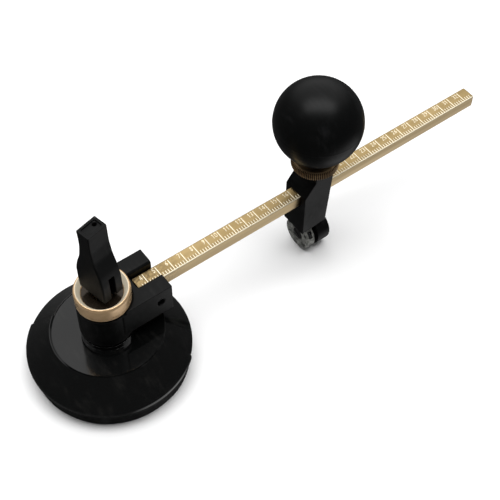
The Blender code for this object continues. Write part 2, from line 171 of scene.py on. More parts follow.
def blockPiece(name, outline, low, high, plane="XZ", edge=0.0, steps=3):
    # an outline pushed from low to high; its end edges are quarter circles, 1 - sin inwards by 1 - cos onwards
    t = np.linspace(0, math.pi / 2, steps + 1) if edge else np.array([math.pi / 2])
    inwards, onwards = edge * (1 - np.sin(t)), edge * (1 - np.cos(t))
    inset = np.concatenate([inwards, inwards[::-1]])
    depth = np.concatenate([low + onwards, (high - onwards)[::-1]]) if edge else np.array([low, high])
    ahead, back = np.roll(outline, -1, 0) - outline, outline - np.roll(outline, 1, 0)
    tangent = ahead / np.linalg.norm(ahead, axis=1)[:, None] + back / np.linalg.norm(back, axis=1)[:, None]
    tangent /= np.linalg.norm(tangent, axis=1)[:, None]
    normal = np.stack([-tangent[:, 1], tangent[:, 0]], 1)
    area = np.sum(outline[:, 0] * np.roll(outline[:, 1], -1) - outline[:, 1] * np.roll(outline[:, 0], -1))
    normal *= np.sign(area)
    layers = outline[None] + inset[:, None, None] * normal[None]
    d = np.broadcast_to(depth[:, None], layers.shape[:2])
    a, b = layers[..., 0], layers[..., 1]
    points = np.stack({"XZ": (a, d, b), "YZ": (d, a, b), "XY": (a, b, d)}[plane], -1)
    return gridPiece(name, points, wrapV=True, capU=True)


def boxTool(low, high):
    # a plain box from one corner to the other
    outline = np.array([(low[0], low[2]), (high[0], low[2]), (high[0], high[2]), (low[0], high[2])], float)
    return blockPiece("tool", outline, low[1], high[1])


def rodTool(radius, low, high, axis, centre=(0, 0, 0), steps=64):
    # a plain rod from low to high along its axis
    profile = np.array([(0.0, low), (radius, low), (radius, high), (0.0, high)])
    return turnedPiece("tool", profile, steps, axis, centre, closed=False)


def placed(piece, matrix):
    # the mesh itself is moved, so the object stays at the origin
    piece.data.transform(matrix)
    return piece


def baked(piece):
    # the mesh as the modifiers leave it takes their place
    bpy.context.view_layer.update()
    result = bpy.data.meshes.new_from_object(piece.evaluated_get(bpy.context.evaluated_depsgraph_get()))
    piece.modifiers.clear()
    piece.data = result


def combined(piece, tools, operation="DIFFERENCE"):
    # booleans with each tool; the tools are thrown away
    for tool in tools:
        cut = piece.modifiers.new("cut", "BOOLEAN")
        cut.operation, cut.solver, cut.object = operation, "EXACT", tool
    baked(piece)
    for tool in tools:
        bpy.data.objects.remove(tool, do_unlink=True)
    return piece


def moulded(piece, voxel, passes=2):
    # remesh into even small faces and relax them, which rounds every edge as moulding or casting does
    remesh = piece.modifiers.new("even", "REMESH")
    remesh.mode, remesh.voxel_size, remesh.use_smooth_shade = "VOXEL", voxel * mm, True
    relax = piece.modifiers.new("relax", "SMOOTH")
    relax.factor, relax.iterations = 0.5, passes
    baked(piece)
    piece.data.shade_smooth()
    return piece


class Finish:
    # a Principled material and short ways to add nodes to it
    def __init__(self, name, colour, roughness, metallic=0.0, **sockets):
        self.material = bpy.data.materials.new(name)
        self.material.use_nodes = True
        self.nodes, self.links = self.material.node_tree.nodes, self.material.node_tree.links
        self.shader = self.nodes["Principled BSDF"]
        self.shader.inputs["Base Color"].default_value = (*colour, 1)
        self.shader.inputs["Roughness"].default_value = roughness
        self.shader.inputs["Metallic"].default_value = metallic
        for socket, value in sockets.items():
            self.shader.inputs[socket].default_value = value
        self.coordinates = self.add("ShaderNodeTexCoord").outputs["Object"]
        self.bumps = []

    def feed(self, socket, value):
        # another node's output is linked, and a plain value is set
        if isinstance(value, bpy.types.NodeSocket):
            self.links.new(value, socket)
        else:
            socket.default_value = value

    def add(self, kind, settings=None, **inputs):
        node = self.nodes.new(kind)
        for key, value in (settings or {}).items():
            setattr(node, key, value)
        for key, value in inputs.items():
            self.feed(node.inputs[key.replace("_", " ")], value)
        return node

    def scaled(self, scale, turn=(0, 0, 0)):
        place = self.add("ShaderNodeMapping", Vector=self.coordinates)
        place.inputs["Scale"].default_value = scale
        place.inputs["Rotation"].default_value = turn
        return place.outputs[0]

    def noise(self, scale, detail=3.0, rough=0.55, stretch=(1, 1, 1), turn=(0, 0, 0)):
        where = self.scaled([s * scale for s in stretch], turn)
        node = self.add("ShaderNodeTexNoise", Vector=where, Scale=1.0, Detail=detail, Roughness=rough)
        return node.outputs["Fac"]

    def spread(self, value, low, high, outLow=0.0, outHigh=1.0):
        # the range from low to high becomes the one from outLow to outHigh, held at its ends
        node = self.add("ShaderNodeMapRange", Value=value)
        for key, number in zip(("From Min", "From Max", "To Min", "To Max"), (low, high, outLow, outHigh)):
            node.inputs[key].default_value = number
        return node.outputs[0]

    def maths(self, operation, one, two=0.0):
        node = self.add("ShaderNodeMath", {"operation": operation})
        self.feed(node.inputs[0], one)
        self.feed(node.inputs[1], two)
        return node.outputs[0]

    def mix(self, factor, one, two):
        # a colour from one to two
        node = self.add("ShaderNodeMix", {"data_type": "RGBA"})
        self.feed(node.inputs[0], factor)
        for index, value in ((6, one), (7, two)):
            self.feed(node.inputs[index], value if isinstance(value, bpy.types.NodeSocket) else (*value, 1))
        return node.outputs[2]

    def place(self, letter):
        return self.add("ShaderNodeSeparateXYZ", Vector=self.coordinates).outputs[letter]

    def marksAndPaintedLight(self):
        return self.add("ShaderNodeAttribute", {"attribute_name": "marks_and_painted_light"}).outputs["Fac"]

    def colour(self, socket):
        self.links.new(socket, self.shader.inputs["Base Color"])

    def rough(self, socket):
        self.links.new(socket, self.shader.inputs["Roughness"])

    def metal(self, socket):
        self.links.new(socket, self.shader.inputs["Metallic"])

    def bump(self, height, distance, strength=1.0):
        # each bump adds to the one before it
        node = self.add("ShaderNodeBump", Height=height)
        node.inputs["Distance"].default_value = distance * mm
        node.inputs["Strength"].default_value = strength
        if self.bumps:
            self.links.new(self.bumps[-1], node.inputs["Normal"])
        self.bumps.append(node.outputs[0])
        self.links.new(node.outputs[0], self.shader.inputs["Normal"])


plastics = {
    "black": (0.0024, 0.0026, 0.0026),
    "dust": (0.014, 0.014, 0.0135),
    "roughness": (0.38, 0.52),
    "ior": 1.21,
    "grain": 0.012, "wave": 0.05,              # mm, the fine and the broad unevenness
    "broad": 140, "fine": 2600, "scratches": 900,
}


def mouldedPlastic(name, black=plastics["black"], dust=plastics["dust"], rough=plastics["roughness"],
                   grain=1.0, ior=plastics["ior"]):
    # black plastic with a film of dust where broad blotches and long scratches meet
    made = Finish(name, black, rough[0], IOR=ior)
    broad = made.noise(plastics["broad"], 4, 0.6)
    fine = made.noise(plastics["fine"], 2)
    scratch = made.noise(plastics["scratches"], 3, 0.6, stretch=(1, 0.12, 0.3), turn=(0.4, 0.2, 0.5))
    dusty = made.maths("MULTIPLY", made.spread(broad, 0.45, 0.72), made.spread(scratch, 0.45, 0.7))
    made.colour(made.mix(dusty, black, dust))
    uneven = made.maths("ADD", made.maths("MULTIPLY", broad, 0.7), made.maths("MULTIPLY", fine, 0.3))
    made.rough(made.spread(uneven, 0.3, 0.7, *rough))
    made.bump(fine, plastics["grain"] * grain, 0.5)
    made.bump(broad, plastics["wave"], 0.25)
    return made.material


rubber = {
    "base": (0.006, 0.006, 0.006), "clean": (0.007, 0.007, 0.007), "dusty": (0.018, 0.019, 0.018),
    "roughness": (0.5, 0.72), "ior": 1.3, "broad": 160, "fine": 1900, "grain": 0.02,
}


def rubberFinish(d):
    # matt rubber with dusty patches and a fine grain
    made = Finish("cup rubber", d["base"], 0.55, IOR=d["ior"])
    broad, fine = made.noise(d["broad"], 4), made.noise(d["fine"], 3)
    made.colour(made.mix(made.spread(broad, 0.42, 0.7), d["clean"], d["dusty"]))
    made.rough(made.spread(fine, 0.3, 0.7, *d["roughness"]))
    made.bump(fine, d["grain"], 0.5)
    return made.material


# painted reflection: the brass cup's bevel is painted pale, less metallic and rougher where the light's
# reflection falls: from one radius to the other, above a height, all in mm
paintedReflectionBand = {
    "inner": 6.8, "outer": 8.5, "above": 37.85, "fade": 0.05, "fadeUp": 0.2,
    "colour": (1.0, 0.90, 0.70), "metallic": 0.15, "duller": 0.3,
}


def turnedBrass(name, light, dark, rough, markedDark, streak=1.0, pale=None, metallic=1.0):
    # brass turned on a lathe: rings across the height, blotches, and a darker colour where the piece holds its
    # mark: painted shade on the cup's floor under the lever, darker grooves on the knurl; a pale band, if
    # given, is a painted reflection
    made = Finish(name, light, rough[0], metallic)
    blotch = made.noise(220, 4, 0.6)
    rings = made.noise(420, 2, 0.5, stretch=(0.15, 0.15, 22))
    shade = made.mix(made.spread(blotch, 0.35, 0.75), light, dark)
    # painted shade on the cup's floor under the lever; on the knurl the grooves are darker
    shade = made.mix(made.spread(made.marksAndPaintedLight(), 0.25, 0.8), shade, markedDark)
    satin = made.spread(made.maths("ADD", blotch, made.maths("MULTIPLY", rings, 0.5)), 0.45, 1.0, *rough)
    # painted reflection: a pale, less metallic, rougher band on the cup's bevel
    if pale:
        away = made.add("ShaderNodeVectorMath", {"operation": "LENGTH"}, Vector=made.scaled((1, 1, 0)))
        inner, outer, above = pale["inner"] * mm, pale["outer"] * mm, pale["above"] * mm
        fade, fadeUp = pale["fade"] * mm, pale["fadeUp"] * mm
        band = made.maths("MULTIPLY", made.spread(away.outputs["Value"], inner - fade, inner + fade),
                          made.spread(away.outputs["Value"], outer + fade, outer - fade))
        band = made.maths("MULTIPLY", band, made.spread(made.place("Z"), above, above + fadeUp))
        shade = made.mix(band, shade, pale["colour"])
        satin = made.maths("ADD", satin, made.maths("MULTIPLY", band, pale["duller"]))
        made.metal(made.spread(band, 0, 1, metallic, pale["metallic"]))
    made.colour(shade)
    made.rough(satin)
    made.bump(rings, 0.006 * streak, 0.6)
    return made.material


scaleLook = {
    "base": (0.74, 0.61, 0.38), "plain": (0.41, 0.30, 0.145), "tarnish": (0.28, 0.20, 0.088),
    "spots": (0.30, 0.22, 0.12),
    "tickStrip": (0.26, 0.19, 0.10), "stripY": (-0.9, -1.2),         # mm, darker along the short ticks
    # painted light: the front face is painted lighter, as if lit
    "paintedFrontLight": (0.54, 0.41, 0.23), "frontY": (-2.62, -2.69),
    "innerEndDark": (0.13, 0.092, 0.05), "innerEndX": (30, 17),              # the inner end, inside the fork
    "marksAndEdgeHighlight": (0.93, 0.86, 0.68), "markMetallic": 0.45, "roughness": (0.28, 0.46),
}


def barBrass(d):
    # drawn brass with grain along X, tarnish in patches, bright engraved marks, a painted highlight along the
    # front-top edge, painted light on the front face, and darker patches at the inner end
    made = Finish("scale brass", d["base"], 0.3, 1.0)
    grain = made.noise(900, 3, 0.6, stretch=(0.02, 1, 1))
    blotch = made.noise(90, 5, 0.62, stretch=(0.6, 1.4, 1.4))
    spots = made.noise(700, 2)
    plain = made.mix(made.spread(blotch, 0.38, 0.72), d["plain"], d["tarnish"])
    plain = made.mix(made.spread(spots, 0.66, 0.78, 0.0, 0.5), plain, d["spots"])
    across, along = made.place("Y"), made.place("X")
    strip = made.spread(across, *(y * mm for y in d["stripY"]))
    plain = made.mix(made.maths("MULTIPLY", strip, 0.55), plain, d["tickStrip"])
    # painted light: the front face is painted lighter
    plain = made.mix(made.spread(across, *(y * mm for y in d["frontY"])), plain, d["paintedFrontLight"])
    # darker in patches towards the inner end, inside the fork
    inner = made.spread(along, *(x * mm for x in d["innerEndX"]))
    innerEndDark = made.maths("MULTIPLY", inner, made.spread(made.noise(1100, 3), 0.38, 0.58))
    plain = made.mix(made.maths("MULTIPLY", innerEndDark, 0.85), plain, d["innerEndDark"])
    # the marks' bright colour also paints the highlight on the front-top edge
    cut = made.spread(made.marksAndPaintedLight(), 0.10, 0.5)
    made.colour(made.mix(cut, plain, d["marksAndEdgeHighlight"]))
    made.metal(made.spread(cut, 0, 1, 1.0, d["markMetallic"]))
    duller = made.maths("MULTIPLY", cut, 0.3)
    made.rough(made.maths("ADD", made.spread(grain, 0.3, 0.7, *d["roughness"]), duller))
    made.bump(grain, 0.008, 0.6)
    made.bump(blotch, 0.03, 0.15)
    return made.material


def steelFinish(name, colour, dark, rough, scale=1.0, metallic=1.0):
    # steel with dark blotches and a fine grain
    made = Finish(name, colour, rough[0], metallic)
    blotch = made.noise(500 * scale, 5, 0.65)
    fine = made.noise(2400 * scale, 3)
    made.colour(made.mix(made.spread(blotch, 0.38, 0.66), colour, dark))
    made.rough(made.spread(fine, 0.3, 0.7, *rough))
    made.bump(blotch, 0.05, 0.5)
    made.bump(fine, 0.015, 0.5)
    return made.material


finishes = {
    "black_plastic": mouldedPlastic("moulded black"),
    "glossy_base": mouldedPlastic("glossy black", dust=(0.016, 0.0155, 0.0145),
                                  rough=(0.06, 0.15), grain=0.5, ior=1.45),
    "gloss_black": mouldedPlastic("ball black", (0.0026, 0.0028, 0.0028), (0.009, 0.009, 0.0095),
                                  (0.30, 0.40), 0.4),
    "rubber": rubberFinish(rubber),
    "polished_brass": turnedBrass("polished brass", (0.76, 0.53, 0.31), (0.60, 0.40, 0.21), (0.14, 0.26),
                                  markedDark=(0.035, 0.026, 0.018), pale=paintedReflectionBand, metallic=0.6),
    "knurled_brass": turnedBrass("knurled brass", (0.42, 0.29, 0.165), (0.20, 0.125, 0.065), (0.34, 0.52),
                                 markedDark=(0.035, 0.022, 0.012), streak=2.0),
    "scale_brass": barBrass(scaleLook),
    "steel": steelFinish("plain steel", (0.10, 0.10, 0.102), (0.045, 0.045, 0.046), (0.30, 0.45)),
    "worn_steel": steelFinish("worn steel", (0.30, 0.305, 0.28), (0.035, 0.036, 0.033), (0.45, 0.7),
                              metallic=0.2),
    "wheel_steel": steelFinish("wheel steel", (0.20, 0.205, 0.21), (0.10, 0.10, 0.105), (0.25, 0.4), 2.0),
    "nylon": mouldedPlastic("black nylon", (0.006, 0.006, 0.006), (0.014, 0.014, 0.014), (0.45, 0.6)),
}


def finished(piece, body, slotName, *nodes, look=None):
    # the piece gets the finish that its look or slot name picks and the body it rides on, and the nodes it
    # stands for are hidden
    piece.data.materials.clear()
    piece.data.materials.append(finishes[look or slotName])
    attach(piece, body)
    if nodes:
        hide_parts(*nodes)
    return piece


# the frame's own nodes are shown in the same finishes
slotOf = {part["node"]: part["material_slot"] for part in frame["record"]["subparts"]}
for node, carried in frame["nodes"].items():
    carried.data.materials.clear()
    carried.data.materials.append(finishes[slotOf[node]])


def span(node):
    # the two corners of a node's box, in mm
    low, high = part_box(node)
    return np.array(low) / mm, np.array(high) / mm


housing = {
    "skirtR": 27.6, "skirtZ": 7.0, "coneZ": 8.4, "discR": 18.9, "discZ": 17.0,
    "lip": 0.4, "dip": 0.3,                                      # the disc lies that far below the cone
    "seatR": 8.9, "seatZ": 18.6, "postR": 6.6, "boreR": 5.0,
    "shell": 3.1, "webZ": 15.6, "webR": 17.9, "slopeR": 23.0,    # the hollow below it
    "rimRoomR": (23.3, 25.2), "rimRoomZ": 8.6, "skirtInnerR": 25.8,
    "sectorFrom": 129.0, "sectorTo": 313.0, "sectorRise": 0.5,   # degrees from +X, and mm
    "stepWidth": 0.9, "groove": 0.3,                             # degrees over which it rises, mm beside it
    "steps": 720,
}


def makeHousing(d):
    # the shell's section turned round Z, with the cone and rim raised over one sector
    top = span("base_housing")[1][2]
    slope = (d["discZ"] - d["coneZ"]) / (d["skirtR"] - d["discR"])
    flat = d["discZ"] - d["dip"]

    def under(r):
        # the cone's line, lowered by the shell
        return d["coneZ"] + (d["skirtR"] - r) * slope - d["shell"]

    profile = denser(roundedRows([
        (d["skirtR"], d["skirtZ"], 0.4), (d["skirtR"], d["coneZ"], 0.45), (d["discR"], d["discZ"], 0.12),
        (d["discR"] - d["lip"], flat, 0.15), (d["seatR"], flat, 0.03), (d["seatR"], d["seatZ"], 0.1),
        (d["postR"], d["seatZ"], 0.1), (d["postR"], top, 0.2), (d["boreR"], top, 0.2),
        (d["boreR"], d["webZ"], 0.3),
        (d["webR"], under(d["webR"]), 0.5), (d["slopeR"], under(d["slopeR"]), 0.3),
        (d["rimRoomR"][0], d["rimRoomZ"], 0.1), (d["rimRoomR"][1], d["rimRoomZ"], 0.1),
        (d["skirtInnerR"], d["skirtZ"], 0.2),
    ]), 0.8)

    def raised(angle, r, h):
        # the cone and its rim grow along their normal inside the sector, with a soft step at each end
        away = (angle - math.radians(d["sectorFrom"])) % tau
        width = math.radians(d["sectorTo"] - d["sectorFrom"])
        ramp = math.radians(d["stepWidth"])
        inside = np.clip(away / ramp, 0, 1) * np.clip((width - away) / ramp, 0, 1)
        inside = inside * inside * (3 - 2 * inside)
        beside = np.minimum(np.abs((away + math.pi) % tau - math.pi), np.abs(away - width)) / ramp
        inside = inside - d["groove"] / d["sectorRise"] * np.exp(-((beside - 0.1) / 0.6) ** 2)
        # only the outer skin grows: outside the disc and over the underside, or on the skirt
        outer = np.clip((r - d["discR"] + 0.25) / 0.3, 0, 1) * np.clip((h - d["skirtZ"] + 0.2) / 0.1, 0, 1)
        outer = outer * (h > under(np.maximum(r, 18.0)) + 1.6) + (r > d["skirtR"] - 0.6) * (h <= d["coneZ"])
        grow = inside * np.clip(outer, 0, 1) * d["sectorRise"]
        along = np.clip((h - d["coneZ"] + 0.5) / 0.8, 0, 1)
        return r + grow * (1 - 0.3 * along), h + grow * 0.7 * along

    piece = turnedPiece("housing", profile, d["steps"], radiusOf=raised)
    return finished(piece, "root", "black_plastic", "base_housing", look="glossy_base")


cup = {
    "rimR": 26.8, "rimTop": 8.2, "webR": (19.0, 12.0), "webTop": (3.6, 3.4), "bossR": 9.3, "bossTop": 10.0,
    "throatR": 4.5, "pocketR": 7.3, "pocketZ": (2.9, 7.0),           # the pocket has room for the nut to rise
    "wobble": ((5, 0.05, 0.4), (11, 0.04, 1.9)),                     # waves round the rim, mm, phase
}


def makeCup(d):
    # a flat-bottomed rubber skin with a thick rim, turned round Z, its rim a little uneven
    r = d["rimR"]
    profile = roundedRows([
        (0.0, 0.0, 0), (r - 0.2, 0.0, 0.3), (r, 0.35, 0.2), (r - 0.25, 1.0, 0.5), (r - 0.7, 2.2, 0.8),
        (r - 1.0, 4.0, 1.0), (r - 1.5, 6.9, 0.5), (r - 2.0, d["rimTop"], 0.6), (r - 3.3, d["rimTop"], 0.6),
        (r - 5.0, 6.0, 1.0), (d["webR"][0], d["webTop"][0], 1.0), (d["webR"][1], d["webTop"][1], 1.0),
        (d["bossR"] + 0.3, 5.0, 1.0), (d["bossR"], d["bossTop"] - 0.4, 0.2),
        (d["bossR"] - 0.4, d["bossTop"], 0.2), (d["throatR"], d["bossTop"], 0.2),
        (d["throatR"], d["pocketZ"][1], 0.2), (d["pocketR"], d["pocketZ"][1], 0.2),
        (d["pocketR"], d["pocketZ"][0], 0.2), (0.0, d["pocketZ"][0], 0),
    ], 4, closed=False)

    def uneven(angle, radius, h):
        wobble = sum(size * np.sin(waves * angle + phase) for waves, size, phase in d["wobble"])
        return radius + wobble * (radius > 25) * (h < 6), h

    piece = turnedPiece("suction_rubber", denser(profile, 1.5, closed=False), 180, radiusOf=uneven)
    piece.data.materials.append(finishes["rubber"])
    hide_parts("suction_cup")
    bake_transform(piece)
    return piece


brassCup = {
    "outerR": 9.2, "mouthR": 8.35, "floorR": 6.75, "spigotR": 4.7, "holeR": 3.4,
    "ringZ": 34.0, "floorZ": 37.6,
}


def makeBrassCup(d):
    # a ring with a groove near its foot and a bevelled inside, on its spigot; its floor is marked for painted
    # shade under the lever
    low, high = span("retaining_cup")
    r, foot, floor, top = d["outerR"], d["ringZ"], d["floorZ"], high[2]
    profile = roundedRows([
        (d["holeR"], low[2], 0.1), (d["spigotR"], low[2], 0.1), (d["spigotR"], foot, 0.1),
        (r - 0.15, foot, 0.35),
        (r - 0.05, foot + 0.9, 0.2), (r - 0.25, foot + 1.25, 0.15), (r, foot + 1.6, 0.3), (r, top - 0.9, 0.8),
        (r - 0.35, top, 0.45), (d["mouthR"], top, 0.4), (d["floorR"], floor, 0.3), (d["holeR"], floor, 0.3),
    ], 6)

    # painted shade: the floor under the lever is marked, and the material paints it near black
    def onFloor(angle, radius, h):
        return np.where((h < floor + 0.25) & (h > floor - 0.1) & (radius < d["floorR"]), 1.0, 0.0)

    piece = turnedPiece("brass_cup", denser(profile, 0.7), 180, valuesOf=onFloor)
    return finished(piece, "root", "polished_brass", "retaining_cup")


def washerPiece(name, node, body, hole, edge=0.08):
    # a flat ring with slightly broken edges, as big as its solid
    low, high = span(node)
    centre = (low + high) / 2
    outer = (high[1] - low[1]) / 2
    z0, z1 = low[2] - centre[2], high[2] - centre[2]
    profile = roundedPath([(hole, z0), (outer, z0), (outer, z1), (hole, z1)], edge, 2)
    piece = turnedPiece(name, denser(profile, 1.0), 96, centre=tuple(centre))
    return finished(piece, body, slotOf[node], node)


arm = {
    "collarR": 9.1, "collarBore": 6.9, "collarTop": 33.1, "ringRoomR": 9.5,
    "forkX": 1.5, "forkY": 9.2, "forkZ": 22.5, "slotHalfY": 3.0, "slotX": 10.8, "chamfer": 0.7, "voxel": 0.13,
}
hinge = {"x": 15.7, "z": 29.0, "holeR": 1.4, "pinR": 1.1, "pinHalf": 8.2}    # where the bar tilts in the fork
hingePlace = (hinge["x"], 0, hinge["z"])

makeHousing(housing)
makeCup(cup)
makeBrassCup(brassCup)
washerPiece("collar_washer", "thrust_washer", "root", arm["collarBore"])
washerPiece("steel_washer", "friction_washer", "arm", arm["collarBore"], edge=0.1)
print("base done")


def makeArm(d):
    # a collar with a block on it, cut by the post's bore, the ring's room, the fork's slot and the pin's hole
    low, high = span("swivel_arm")
    top, y, over = d["collarTop"], d["slotHalfY"], 0.2
    inner, outer = d["collarBore"], d["collarR"]
    piece = turnedPiece("fork_arm", np.array([(inner, low[2]), (outer, low[2]), (outer, top), (inner, top)]))
    combined(piece, [boxTool((d["forkX"], -d["forkY"], d["forkZ"]), (high[0], d["forkY"], high[2]))], "UNION")
    wide = y + d["chamfer"] + over
    mouth = np.array([(-y, high[2] - d["chamfer"]), (y, high[2] - d["chamfer"]),
                      (wide, high[2] + over), (-wide, high[2] + over)])
    combined(piece, [
        rodTool(inner, low[2] - past, high[2] + past, "Z"),
        rodTool(d["ringRoomR"], top, high[2] + past, "Z"),
        boxTool((d["slotX"], -y, d["forkZ"] - past), (high[0] + past, y, high[2] + past)),
        blockPiece("tool", mouth, d["slotX"] + 0.3, high[0] + past, "YZ"),
        rodTool(hinge["holeR"], -d["forkY"] - past, d["forkY"] + past, "Y", hingePlace),
    ])
    moulded(piece, d["voxel"])
    return finished(piece, "arm", "black_plastic", "swivel_arm")


makeArm(arm)
print("arm done")

bar = {
    "corner": 0.3, "endChamfer": 0.35,
    "firstTick": 20.9, "firstNumber": 5, "every": 5.0, "minor": 1.0,       # mm, and the first tick's number
    "longTick": (-2.35, 2.0), "shortTick": (-2.35, -1.15),                 # from end to end, in Y
    "tickWidth": (0.40, 0.32), "depth": 0.09,                              # widths of the long and the short
    "digitHeight": 1.7, "digitWidth": 0.85, "digitStroke": 0.16, "digitCut": 0.6,
    "digitGap": 0.22, "digitLow": 0.35, "beforeTick": 0.45,
    # painted highlight: the front-top edge gets this much of the marks' bright colour
    "gridStep": 0.11, "paintedEdgeHighlight": 0.42,
}

# each digit is one line through these points, in a box one wide and two high
digitLines = {
    "0": [(0.1, 0.3), (0.1, 1.7), (0.5, 2), (0.9, 1.7), (0.9, 0.3), (0.5, 0), (0.1, 0.3)],
    "1": [(0.5, 0), (0.5, 2), (0.2, 1.6)],
    "2": [(0.1, 1.6), (0.5, 2), (0.9, 1.6), (0.1, 0), (0.95, 0)],
    "3": [(0.1, 1.8), (0.6, 2), (0.9, 1.5), (0.45, 1.05), (0.9, 0.5), (0.5, 0), (0.1, 0.2)],
    "4": [(0.7, 0), (0.7, 2), (0.05, 0.6), (0.95, 0.6)],
    "5": [(0.9, 2), (0.2, 2), (0.15, 1.1), (0.6, 1.2), (0.9, 0.6), (0.5, 0), (0.1, 0.2)],
    "6": [(0.8, 2), (0.2, 1.1), (0.1, 0.5), (0.5, 0), (0.9, 0.5), (0.5, 1.1), (0.15, 0.8)],
    "7": [(0.1, 2), (0.9, 2), (0.35, 0)],
    "8": [(0.5, 1.05), (0.15, 1.55), (0.5, 2), (0.85, 1.55), (0.5, 1.05), (0.1, 0.5), (0.5, 0), (0.9, 0.5),
          (0.5, 1.05)],
    "9": [(0.2, 0), (0.8, 0.9), (0.9, 1.5), (0.5, 2), (0.1, 1.5), (0.5, 0.9), (0.85, 1.2)],
}


def scaleDepth(x, y, d, endX):
    # how deep each point of the top face is cut, from 0 to 1: one minus the distance to the nearest mark's
    # middle line over its half width
    depth = np.zeros(np.broadcast(x, y).shape)
    ticks = ((d["every"], d["longTick"], d["tickWidth"][0]), (d["minor"], d["shortTick"], d["tickWidth"][1]))
    for every, (low, high), width in ticks:
        away = np.abs((x - d["firstTick"] + every / 2) % every - every / 2)
        beyond = np.maximum(np.maximum(low - y, y - high), 0)
        depth = np.maximum(depth, 1 - np.hypot(away, beyond) / (width / 2))
    size = np.array((d["digitWidth"], d["digitHeight"] / 2))
    pitch = d["digitWidth"] + d["digitGap"]
    reach = 0.4                                # mm round a digit that its strokes can touch
    for index in range(-1, int((endX - d["firstTick"]) / d["every"]) + 1):
        text = str(d["firstNumber"] + index)
        left = d["firstTick"] + index * d["every"] - d["beforeTick"] - len(text) * pitch
        for place, digit in enumerate(text):
            corner = np.array((left + place * pitch, d["digitLow"]))
            near = np.where((x[:, 0] > corner[0] - reach) & (x[:, 0] < corner[0] + size[0] + reach))[0]
            if not len(near):
                continue
            rows = slice(near[0], near[-1] + 1)
            line = corner + np.array(digitLines[digit]) * size
            for one, run in zip(line, np.diff(line, axis=0)):
                px, py = x[rows] - one[0], y - one[1]
                t = np.clip((px * run[0] + py * run[1]) / (run @ run), 0, 1)
                distance = np.hypot(px - t * run[0], py - t * run[1])
                depth[rows] = np.maximum(depth[rows], d["digitCut"] * (1 - distance / d["digitStroke"]))
    return np.clip(depth, 0, 1) * (x < endX - 0.6)


def makeBar(d):
    # a rounded square section carried along X; the top face is a fine grid that holds the scale
    low, high = span("bar")
    midZ = (low[2] + high[2]) / 2
    halfY, halfZ, r = (high[1] - low[1]) / 2, (high[2] - low[2]) / 2, d["corner"]
    section = roundedPath([(-halfY, halfZ), (-halfY, -halfZ), (halfY, -halfZ), (halfY, halfZ)], r, 5)
    start = np.argmin(np.hypot(section[:, 0] + halfY - r, section[:, 1] - halfZ))
    section = np.roll(section, -start, 0)      # begins at the front end of the top face
    top = np.linspace(halfY - r, -halfY + r, int((2 * (halfY - r)) / d["gridStep"]) + 1)[1:-1]
    section = np.vstack([section, np.stack([top, np.full_like(top, halfZ)], 1)])
    c = d["endChamfer"]
    x = np.linspace(low[0] + c, high[0] - c, int((high[0] - low[0] - 2 * c) / d["gridStep"]))
    x = np.concatenate([[low[0], low[0] + c * 0.4], x, [high[0] - c * 0.4, high[0]]])
    shrink = np.ones_like(x)                   # the last two rows at each end round it off
    shrink[[0, -1]] = 1 - c / halfY
    shrink[[1, -2]] = 1 - 0.35 * c / halfY
    y = section[None, :, 0] * shrink[:, None]
    z = section[None, :, 1] * shrink[:, None]
    xs = np.broadcast_to(x[:, None], y.shape)
    cut = scaleDepth(x[:, None], section[None, :, 0], d, high[0]) * (section[None, :, 1] > halfZ - 1e-6)
    cut = cut * (x[:, None] > low[0] + 1)      # no marks at the very end
    points = np.stack([xs, y, z - d["depth"] * cut * (2 - cut) + midZ], -1)
    # painted highlight: the front-top edge's points carry part of the marks' bright colour
    worn = (section[:, 0] < -halfY + r * 1.05) & (section[:, 1] > halfZ - r * 0.9)
    shown = np.maximum(cut, d["paintedEdgeHighlight"] * worn[None, :])
    piece = gridPiece("scale_bar", points, wrapV=True, capU=True, values=shown)
    combined(piece, [rodTool(hinge["holeR"], -halfY - past, halfY + past, "Y", hingePlace, 48)])
    piece.data.set_sharp_from_angle(angle=math.radians(30))
    return finished(piece, "bar", "scale_brass", "bar")


makeBar(bar)
print("bar done")

lever = {
    "turn": 12.5, "pivotZ": 44.5, "gripTop": 25.8, "gripHalfX": 3.85, "footHalfX": 4.15,
    # the side outlines (Y, Z) from the pivot
    "front": [(-5.9, -3.5), (-5.75, 4.0), (-5.1, 7.7), (-4.2, 10.5), (-3.1, 13.9), (-2.45, 18.5),
              (-2.35, 25.8)],
    "back": [(5.45, -3.5), (5.75, 1.1), (5.85, 5.4), (5.0, 9.2), (3.3, 13.7), (2.55, 18.6), (2.5, 22.0),
             (2.85, 25.8)],
    # rounded outlines (Y, Z, corner radius) of the cam below and of the slot for the stud's eye
    "cam": [(4.4, -3.0, 0), (3.9, -6.5, 2.2), (-3.9, -6.5, 2.2), (-5.0, -3.0, 0)], "camHalfX": 2.8,
    "slot": [(-8, -8, 0), (2.7, -8, 0.4), (2.7, 2.7, 0.8), (-4.0, 5.6, 0.5), (-8, 5.6, 0)], "slotHalfX": 1.1,
    "pinHoleR": 1.3, "pinHole": (-2.4, 6),
    "recessX": 2.9, "recessY": (-1.45, 1.95), "recess": 0.6,         # a pocket in the top, with a small hole
    "dimple": (1.8, 0.9, 0), "dimpleR": 0.75, "dimpleDepth": 3, "voxel": 0.13,
}
leverPlace = (Matrix.Translation((0, 0, lever["pivotZ"] * mm))
              @ Matrix.Rotation(math.radians(lever["turn"]), 4, "Z"))


